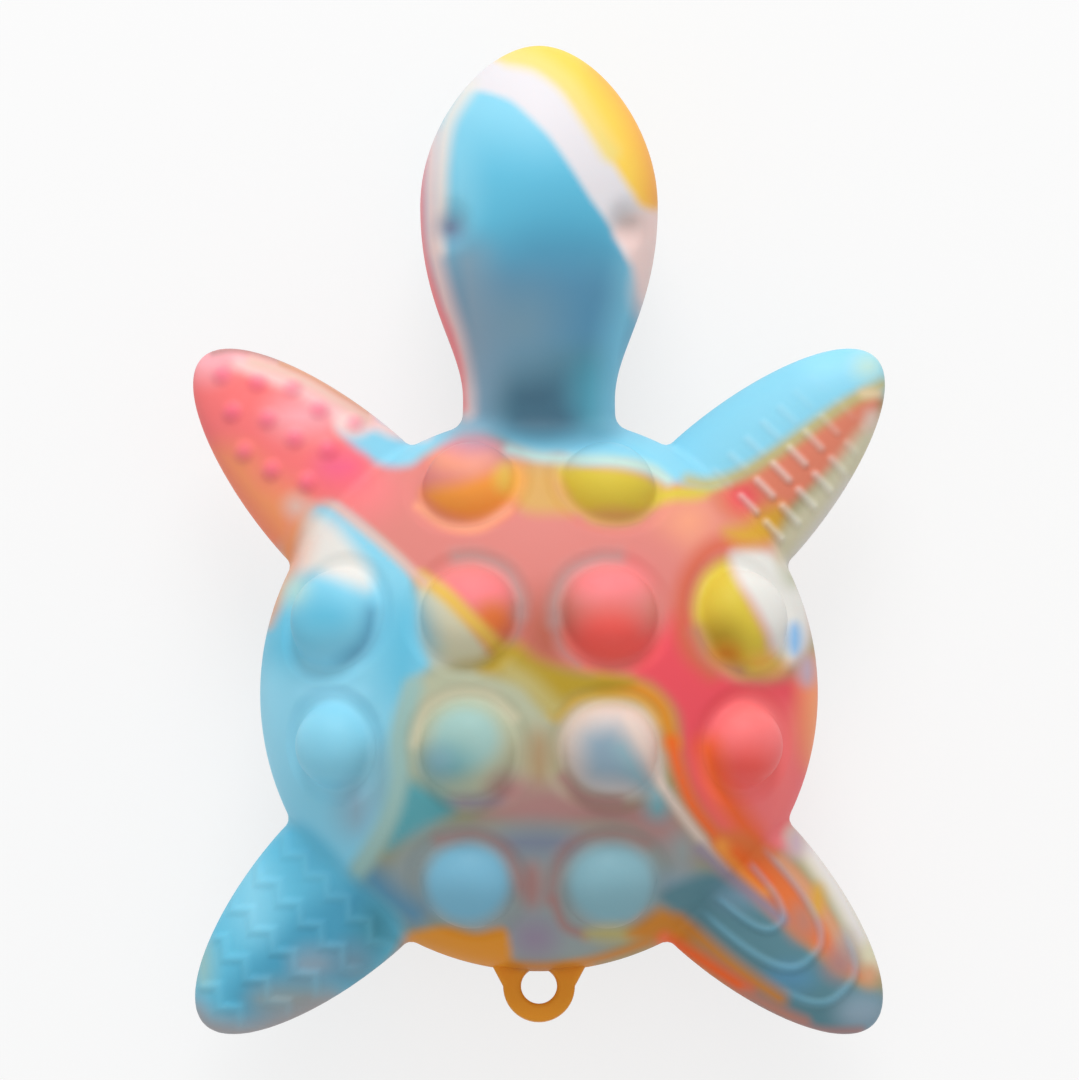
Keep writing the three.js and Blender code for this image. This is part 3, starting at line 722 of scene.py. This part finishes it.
    spot("tan", 1.6, (46.2, -39.6), (1.2, 1.4)),
    spot("rosewood", 2.5, (42, -38), (1.8, 1.8)),
    streak("mauve", 1.4, 1.2, (22.6, -22), (26.4, -25.6), (30.4, -28.8), (34, -31.8)),
    streak("rust", 1.8, 1.6, (19.6, -32.2), (21.6, -33.6), (26, -37.4), (30, -40.4), (33.6, -42.8)),
    streak("flame", 2.0, 1.2, (17.6, -34.6), (21, -36.4), (25, -39), (29, -41.6)),
    streak("clay", 1.6, 1.2, (29, -42.2), (33, -44.4), (37, -46.2)),
    streak("rosewood", 1.0, 1.0, (36, -46.4), (40, -47.4), (45, -47.4)),
    # Head
    area("blue", 1.0, (-11, 38.4), (11, 38.4), (12, 45), (16, 56), (19, 68), (18, 80), (10, 92),
         (0, 95), (-10, 92), (-18, 80), (-19, 68), (-16, 56), (-12, 45)),
    area("sky", 6.0, (-16, 95), (16, 95), (18, 79), (-18, 79)),
    spot("ocean", 8.0, (3, 62), (8, 6)),
    spot("sky", 4.0, (-11, 71), (1.5, 6)),
    area("steel", 6.0, (-17, 59), (17, 59), (12, 38), (-12, 38)),
    area("denim", 3.0, (-5, 46), (9, 48), (10, 37), (-6, 37)),
    # Painted shade in the crease at the base of the neck, where it meets the back
    spot("painted_shade_teal", 5.0, (-0.6, 41.4), (5.4, 4.4)),
    spot("painted_shade_teal", 2.4, (1, 38.4), (4.4, 1.4)),
    spot("sea", 3.5, (7.4, 42), (2, 4)),
    spot("slate", 6.0, (-3, 51), (5, 5)),
    streak("sky", 2.4, 4.0, (13.4, 59), (12.4, 54), (11, 48), (10.8, 40)),
    spot("blush", 2.4, (14.6, 56), (1.0, 3)),
    streak("mist", 3.6, 5.0, (-10, 60), (-9, 52), (-8.6, 46), (-10, 38)),
    area("pearl", 0.8, (-12, 84.4), (-8.6, 84.2), (-5, 83.2), (-3, 82), (0, 79.2), (2, 77), (5, 72.6),
         (7, 69.4), (9, 66.6), (10.6, 64.2), (13.5, 60), (20, 66), (16, 84), (4, 94), (-8, 94),
         (-14, 88)),
    area("sun", 1.0, (-7, 89), (-3, 88.4), (0, 87.4), (3, 85), (5, 82.4), (7, 79.4), (9, 76.4),
         (11, 73), (13, 70), (15, 67.8), (20, 68), (18, 82), (10, 93), (0, 96), (-8, 94)),
    streak("lemon", 2.4, 1.4, (-4, 89), (0, 88), (4, 85), (7, 80.6), (10, 75.6)),
    streak("orange", 3.6, 3.2, (17, 69.4), (16.4, 75), (14, 82), (9.6, 88.4)),
    area("blush", 1.2, (10.6, 64.2), (12.4, 66.4), (15.5, 67), (20, 67), (17, 57), (14.6, 55),
         (13.6, 58), (12.2, 61.6)),
    streak("white", 1.8, 1.4, (-9.6, 85), (-12.6, 80), (-13.6, 74), (-13.8, 68), (-14.2, 62)),
    streak("blush", 1.8, 1.8, (-15, 78), (-15.2, 70), (-14.8, 62), (-13.2, 55), (-11.4, 49),
           (-10.4, 43), (-10.2, 39.6)),
    streak("coral", 1.4, 0.9, (-16.2, 77), (-16.8, 70), (-16.4, 62), (-14.6, 55), (-12.6, 50),
           (-11.2, 45), (-10.8, 40)),
]
# Painted shade in the eye dimples: blue-grey in the left one and grey-tan in the right one
EYE_SHADE = [
    spot("storm", 2.2, (-12.4, 65), (1.4, 1.4)),
    spot("ash", 2.6, (12.6, 65.8), (1.4, 1.0)),
]
GROUND_DYE = "taupe"

# Turn of the belly's marbling for each millimetre in from the seam
BELLY_SWIRL = 0.06


def plan(p):
    """Where points appear in the photograph's plane through the toy's middle."""
    up = p[:, 1] * math.cos(VIEW_LEAN) + p[:, 2] * math.sin(VIEW_LEAN)
    near = p[:, 2] * math.cos(VIEW_LEAN) - p[:, 1] * math.sin(VIEW_LEAN)
    grow = VIEW_DISTANCE / (VIEW_DISTANCE - near)
    seen = np.stack([p[:, 0], up], -1) - VIEW_MIDDLE
    return VIEW_MIDDLE + seen * grow[:, None]


def swirled(p):
    """Points of the belly turned about its middle, the more the further they lie in from the seam."""
    turn = np.where(p[:, 2] < 0, BELLY_SWIRL * np.maximum(BODY_RADIUS - np.hypot(p[:, 0], p[:, 1]), 0), 0)
    x = p[:, 0] * np.cos(turn) - p[:, 1] * np.sin(turn)
    y = p[:, 0] * np.sin(turn) + p[:, 1] * np.cos(turn)
    return np.stack([x, y, p[:, 2]], -1)


def marbled(p, layers=MARBLING):
    """Dye colours of points on the toy, with the patches of painted shade and highlight among them."""
    seen = plan(swirled(p))
    colours = np.tile(linear(DYES_AND_PAINTED_SHADES[GROUND_DYE]), (len(p), 1))
    for colour, soft, width, path in layers:
        reach = soft + width
        near = np.all((seen > path.min(0) - reach) & (seen < path.max(0) + reach), axis=1)
        if not near.any():
            continue
        places = seen[near]
        gap = path_distance(places, path) - width / 2 if width else outline_distance(places, path)
        cover = smooth_step(0.5 - gap / (2 * soft))[:, None]
        colours[near] = colours[near] * (1 - cover) + colour * cover
    return colours


def marbled_with_ridges(p):
    """Dye colours of points on the upper half, with painted shade in the eye dimples and the relief's ridge
    tints, partly dye and partly painted highlight and shadow.
    """
    colours = marbled(p, MARBLING + EYE_SHADE)
    _, ridge_dyes_and_light, shares = relief(p)
    return colours + shares[:, None] * (ridge_dyes_and_light - colours)


def put_values(node, values):
    for socket, value in values.items():
        node.inputs[socket].default_value = value


def silicone():
    material = bpy.data.materials.new("marbled_silicone")
    material.use_nodes = True
    nodes, links = material.node_tree.nodes, material.node_tree.links
    shader = nodes["Principled BSDF"]
    put_values(shader, {
        "Roughness": 0.5,
        "Specular IOR Level": 0.22,
        "IOR": 1.41,
        "Subsurface Weight": 0.1,
        "Subsurface Radius": (1.0, 0.6, 0.5),
        "Subsurface Scale": 0.001,
    })
    # The base colour is the dye, with its patches of painted shade and highlight, from the mesh's colour
    # attribute
    dye_and_painted_light = nodes.new("ShaderNodeAttribute")
    dye_and_painted_light.attribute_name = "dye_and_painted_light"
    links.new(dye_and_painted_light.outputs["Color"], shader.inputs["Base Color"])
    place = nodes.new("ShaderNodeTexCoord")
    grain = nodes.new("ShaderNodeTexNoise")
    put_values(grain, {"Scale": 900})
    links.new(place.outputs["Object"], grain.inputs["Vector"])
    bumps = nodes.new("ShaderNodeBump")
    put_values(bumps, {"Strength": 0.05, "Distance": 0.0002})
    links.new(grain.outputs["Fac"], bumps.inputs["Height"])
    links.new(bumps.outputs["Normal"], shader.inputs["Normal"])
    return material


SILICONE = silicone()


def in_frame(p):
    """Points of the forms in the frame's metres."""
    return (p + (0, 0, SEAM_HEIGHT)) * MM


def piece(name, mesh, colours, nodes):
    """A finished toy piece from a mesh in the forms' millimetres."""
    corners = np.empty(3 * len(mesh.vertices))
    mesh.vertices.foreach_get("co", corners)
    mesh.vertices.foreach_set("co", in_frame(corners.reshape(-1, 3)).ravel())
    attribute = mesh.attributes.new("dye_and_painted_light", "FLOAT_COLOR", "POINT")
    attribute.data.foreach_set("color", np.hstack([colours, np.ones((len(colours), 1))]).ravel())
    mesh.polygons.foreach_set("use_smooth", np.ones(len(mesh.polygons), bool))
    mesh.materials.append(SILICONE)
    mesh.update()
    made = bpy.data.objects.new(name, mesh)
    bpy.context.scene.collection.objects.link(made)
    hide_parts(*nodes)
    return made


class Seat:
    """Where a bubble sits on the back: its middle, its outward axis and two axes across it."""

    def __init__(self, joint):
        self.name = joint["child"]
        self.axis = -np.array(joint["axis"], float)
        weights = np.array([BODY_RADIUS, BODY_RADIUS, BACK_RISE])
        self.middle = weights**2 * self.axis / np.linalg.norm(weights * self.axis)
        self.side = np.cross(self.axis, (0, 1, 0))
        self.side /= np.linalg.norm(self.side)
        self.ahead = np.cross(self.axis, self.side)
        node = frame["nodes"][self.name].data
        corners = np.array([vert.co for vert in node.vertices]) / MM - (0, 0, SEAM_HEIGHT)
        local = self.local(corners)
        self.radius = np.hypot(local[:, 0], local[:, 1]).max()
        self.apex = local[:, 2].max()
        self.hole = self.radius + 2 * CLEARANCE + HINGE_WIDTH

    def local(self, p):
        return (p - self.middle) @ np.stack([self.side, self.ahead, self.axis], -1)

    def on_form(self, turns, radius):
        """Points of the form at a radius about the axis."""
        across = np.cos(turns)[:, None] * self.side + np.sin(turns)[:, None] * self.ahead
        p = self.middle + radius * across
        for _ in range(RAISE_ROUNDS):
            slope = slope_of(toy_field, p) @ self.axis
            p = p - (toy_field(p) / slope)[:, None] * self.axis
        return p

    def gaps(self, p):
        """Distances from the axis, for points near the seat."""
        local = self.local(p)
        return np.where(np.abs(local[:, 2]) < self.radius, np.hypot(local[:, 0], local[:, 1]), np.inf)

    def sunk(self, p):
        """Points of the form moved down into the moat, fully at its foot and less towards its edge."""
        edge = self.hole + MOAT_ROUND
        share = smooth_step((edge - self.gaps(p)) / (edge - self.radius - MOAT_FLAT))
        return p - (MOAT_DEPTH * share)[:, None] * self.axis


def corners_of(bm):
    return np.array([vert.co for vert in bm.verts])


def put_corners(bm, corners):
    for vert, corner in zip(bm.verts, corners):
        vert.co = corner


def half_shell(points, quads, side):
    """One half of the form, cut off just short of the seam."""
    bm = bmesh.new()
    verts = [bm.verts.new(point) for point in points]
    for quad in quads:
        bm.faces.new([verts[i] for i in quad])
    bmesh.ops.bisect_plane(
        bm,
        geom=bm.verts[:] + bm.edges[:] + bm.faces[:],
        plane_co=(0, 0, side * (SEAM_GAP / 2 + SEAM_EDGE)),
        plane_no=(0, 0, side),
        clear_inner=True,
    )
    bm.verts.index_update()
    return bm


def refined(bm, chosen):
    """Splits the faces with a chosen corner and lays the new corners on the form."""
    verts = [vert for vert in bm.verts if chosen[vert.index]]
    edges = {edge for vert in verts for face in vert.link_faces for edge in face.edges}
    bmesh.ops.subdivide_edges(bm, edges=list(edges), cuts=1, use_grid_fill=True)
    bm.verts.index_update()
    put_corners(bm, settled(toy_field, corners_of(bm)))


def turned_in(bm, side):
    """Turns the edge of a half in at the seam."""
    rim = [edge for edge in bm.edges if edge.is_boundary]
    made = bmesh.ops.extrude_edge_only(bm, edges=rim)["geom"]
    edge_verts = [item for item in made if isinstance(item, bmesh.types.BMVert)]
    places = np.array([vert.co for vert in edge_verts])
    places = places - SEAM_EDGE * outward(places) * (1, 1, 0)
    places[:, 2] = side * SEAM_GAP / 2
    for vert, place in zip(edge_verts, places):
        vert.co = place
    bm.verts.index_update()


def opened(bm, inside):
    """Takes away the faces with a corner inside an opening."""
    bm.verts.ensure_lookup_table()
    covered = {face for i in np.flatnonzero(inside) for face in bm.verts[i].link_faces}
    bmesh.ops.delete(bm, geom=list(covered), context="FACES")


def mesh_of(bm, name):
    bmesh.ops.recalc_face_normals(bm, faces=bm.faces[:])
    for edge in bm.edges:
        edge.smooth = not edge.is_boundary
    mesh = bpy.data.meshes.new(name)
    bm.to_mesh(mesh)
    bm.free()
    return mesh


def upper_half(form, seats):
    """The upper half with its relief, a moat round each seat and the seats open."""
    bm = half_shell(*form, 1)
    places = corners_of(bm)
    along, across = flipper_place(places)
    fine = (along > BODY_RADIUS - RELIEF_DETAIL_DEPTH) & (np.abs(across) < FLIPPER_HALF_WIDTH)
    fine &= places[:, 2] > RELIEF_DETAIL_FLOOR
    for seat in seats:
        fine |= np.abs(seat.gaps(places) - (seat.radius + seat.hole) / 2) < SEAT_DETAIL
    refined(bm, fine)
    places = corners_of(bm)
    places = places + relief(places)[0][:, None] * outward(places)
    for seat in seats:
        places = seat.sunk(places)
    put_corners(bm, places)
    turned_in(bm, 1)
    places = corners_of(bm)
    opened(bm, np.any([seat.gaps(places) < seat.radius for seat in seats], axis=0))
    return bm


def lower_half(form):
    """The lower half with its vent open."""
    bm = half_shell(*form, -1)
    turned_in(bm, -1)
    places = corners_of(bm)
    opened(bm, np.hypot(places[:, 0], places[:, 1] - VENT_Y) < VENT_RADIUS / 2)
    return bm


def loop_mesh():
    points, quads = surface_of(loop_field, *LOOP_BOX, LOOP_STEP)
    mesh = bpy.data.meshes.new("key_loop_skin")
    mesh.from_pydata(points.tolist(), [], quads.tolist())
    return mesh, points


# A bubble's profile, as places out from its waist or in from it, and shares of its rise
BUBBLE_SIDES = 72
FOOT_RINGS = 10
DOME_RINGS = 24
WAIST_INSET = 0.45
FLANGE_WIDTH = 0.8
FLANGE_LIFT = 0.02
FOOT_FLAT_OUT = 0.55
FOOT_BEND_OUT = 0.28
FOOT_BEND_RISE = 0.06
WAIST_RISE = 0.2
SHOULDER_IN = 0.8
SHOULDER_RISE = 0.6
CROWN_SHARE = 0.6


def bubble_profile(seat):
    """Radii and shares of the rise, from the edge of the flange to the top."""
    waist = seat.radius - WAIST_INSET
    foot = bezier(
        (seat.radius + FLANGE_WIDTH, 0),
        (waist + FOOT_FLAT_OUT, 0),
        (waist + FOOT_BEND_OUT, FOOT_BEND_RISE),
        (waist, WAIST_RISE),
        FOOT_RINGS,
    )
    dome = bezier(
        (waist, WAIST_RISE),
        (waist - SHOULDER_IN, SHOULDER_RISE),
        (CROWN_SHARE * waist, 1),
        (0, 1),
        DOME_RINGS,
    )
    return np.vstack([foot, dome[1:-1]])


def bubble_mesh(seat):
    """A dome from its foot in the moat to its top, as one skin."""
    turns = np.linspace(0, 2 * math.pi, BUBBLE_SIDES, endpoint=False)
    rows = []
    for radius, share in bubble_profile(seat):
        ring = seat.sunk(seat.on_form(turns, radius)) + FLANGE_LIFT * seat.axis
        rise = (seat.apex - seat.local(ring)[:, 2]) * share
        rows.append(ring + rise[:, None] * seat.axis)
    corners = np.vstack(rows + [(seat.middle + seat.apex * seat.axis)[None]])
    sides = [(i, (i + 1) % BUBBLE_SIDES) for i in range(BUBBLE_SIDES)]
    starts = [row * BUBBLE_SIDES for row in range(len(rows))]
    faces = [(a + i, a + j, b + j, b + i) for a, b in zip(starts[:-1], starts[1:]) for i, j in sides]
    faces += [(starts[-1] + i, starts[-1] + j, len(corners) - 1) for i, j in sides]
    mesh = bpy.data.meshes.new(seat.name)
    mesh.from_pydata(corners.tolist(), [], faces)
    return mesh, corners


seats = [Seat(joint) for joint in frame["record"]["behaviour"]["joints"]]
hinge_nodes = [name for name in frame["nodes"] if name.startswith("hinge_")]
form = surface_of(toy_field, *SKIN_BOX, SKIN_STEP)

upper = upper_half(form, seats)
upper_colours = marbled_with_ridges(corners_of(upper))
upper_mesh = mesh_of(upper, "upper_skin")
upper_nodes = ["upper_shell", *hinge_nodes]
upper_skin = piece("upper_skin", upper_mesh, upper_colours, upper_nodes)
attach(upper_skin, "shell")

lower = lower_half(form)
lower_colours = marbled(corners_of(lower))
lower_mesh = mesh_of(lower, "lower_skin")
lower_skin = piece("lower_skin", lower_mesh, lower_colours, ["lower_shell"])
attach(lower_skin, "shell")

mesh, corners = loop_mesh()
loop_skin = piece("key_loop_skin", mesh, marbled(corners), ["key_loop"])
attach(loop_skin, "shell")

for seat in seats:
    mesh, corners = bubble_mesh(seat)
    skin = piece(f"{seat.name}_skin", mesh, marbled(corners), [seat.name])
    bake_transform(skin)

# The stage, in metres: a white floor, a broad light from the head's end and a pale surround
FLOOR_SIZE = 6.0
FLOOR_GREY = (0.85, 0.85, 0.85, 1)
FLOOR_GLOW_SHARE = 0.75
KEY_PLACE = (0.0, 0.75, 0.56)
KEY_SIZE = 0.5
KEY_POWER = 4.55
TOY_MIDDLE = Vector((0, 0.022, 0.02))
SURROUND_LIGHT = 0.66
WHITE = (1, 1, 1, 1)
SENSOR = 36.0


def background_rays(nodes, links):
    """One for rays that show the background, straight, mirrored or through glass, and none for its light."""
    rays = nodes.new("ShaderNodeLightPath")
    either = rays.outputs["Is Camera Ray"]
    for kind in ("Is Glossy Ray", "Is Transmission Ray"):
        larger = nodes.new("ShaderNodeMath")
        larger.operation = "MAXIMUM"
        links.new(either, larger.inputs[0])
        links.new(rays.outputs[kind], larger.inputs[1])
        either = larger.outputs[0]
    return either


def mixed(nodes, links, share, first, second, surface):
    """Shows the second shader by a share, and the first for the rest."""
    mix = nodes.new("ShaderNodeMixShader")
    links.new(share, mix.inputs["Fac"])
    links.new(first, mix.inputs[1])
    links.new(second, mix.inputs[2])
    links.new(mix.outputs["Shader"], surface)


def paper():
    material = bpy.data.materials.new("paper")
    material.use_nodes = True
    nodes, links = material.node_tree.nodes, material.node_tree.links
    matte = nodes["Principled BSDF"]
    put_values(matte, {"Base Color": FLOOR_GREY, "Roughness": 0.9, "Specular IOR Level": 0.0})
    glow = nodes.new("ShaderNodeEmission")
    put_values(glow, {"Strength": 1.0})
    share = nodes.new("ShaderNodeMath")
    share.operation = "MULTIPLY"
    share.inputs[1].default_value = FLOOR_GLOW_SHARE
    links.new(background_rays(nodes, links), share.inputs[0])
    surface = nodes["Material Output"].inputs["Surface"]
    mixed(nodes, links, share.outputs[0], matte.outputs["BSDF"], glow.outputs["Emission"], surface)
    return material


def paper_floor():
    bpy.ops.mesh.primitive_plane_add(size=FLOOR_SIZE)
    made = bpy.context.object
    made.name = "floor"
    made.data.materials.append(paper())
    return made


def key_light():
    lamp = bpy.data.lights.new("key", "AREA")
    lamp.shape = "DISK"
    lamp.size = KEY_SIZE
    lamp.energy = KEY_POWER
    made = bpy.data.objects.new("key", lamp)
    made.location = KEY_PLACE
    made.rotation_euler = (TOY_MIDDLE - made.location).to_track_quat("-Z", "Y").to_euler()
    bpy.context.scene.collection.objects.link(made)
    return made


def surround():
    world = bpy.data.worlds.new("surround")
    world.use_nodes = True
    nodes, links = world.node_tree.nodes, world.node_tree.links
    pale = nodes["Background"]
    put_values(pale, {"Color": WHITE, "Strength": SURROUND_LIGHT})
    white = nodes.new("ShaderNodeBackground")
    put_values(white, {"Color": WHITE, "Strength": 1.0})
    surface = nodes["World Output"].inputs["Surface"]
    rays = background_rays(nodes, links)
    mixed(nodes, links, rays, pale.outputs["Background"], white.outputs["Background"], surface)
    return world


def photo_camera():
    lens = bpy.data.cameras.new("camera")
    lens.sensor_width = SENSOR
    lens.lens = SENSOR * VIEW_DISTANCE / PHOTO_SPAN
    made = bpy.data.objects.new("camera", lens)
    up_page = np.array([0, math.cos(VIEW_LEAN), math.sin(VIEW_LEAN)])
    to_viewer = np.array([0, -math.sin(VIEW_LEAN), math.cos(VIEW_LEAN)])
    middle = np.array([VIEW_MIDDLE[0], 0, 0]) + VIEW_MIDDLE[1] * up_page
    made.location = in_frame(middle + VIEW_DISTANCE * to_viewer)
    made.rotation_euler = (VIEW_LEAN, 0, 0)
    bpy.context.scene.collection.objects.link(made)
    return made


floor = paper_floor()
key = key_light()
bpy.context.scene.world = surround()
bpy.context.scene.camera = photo_camera()
bpy.context.scene.view_settings.view_transform = "Standard"
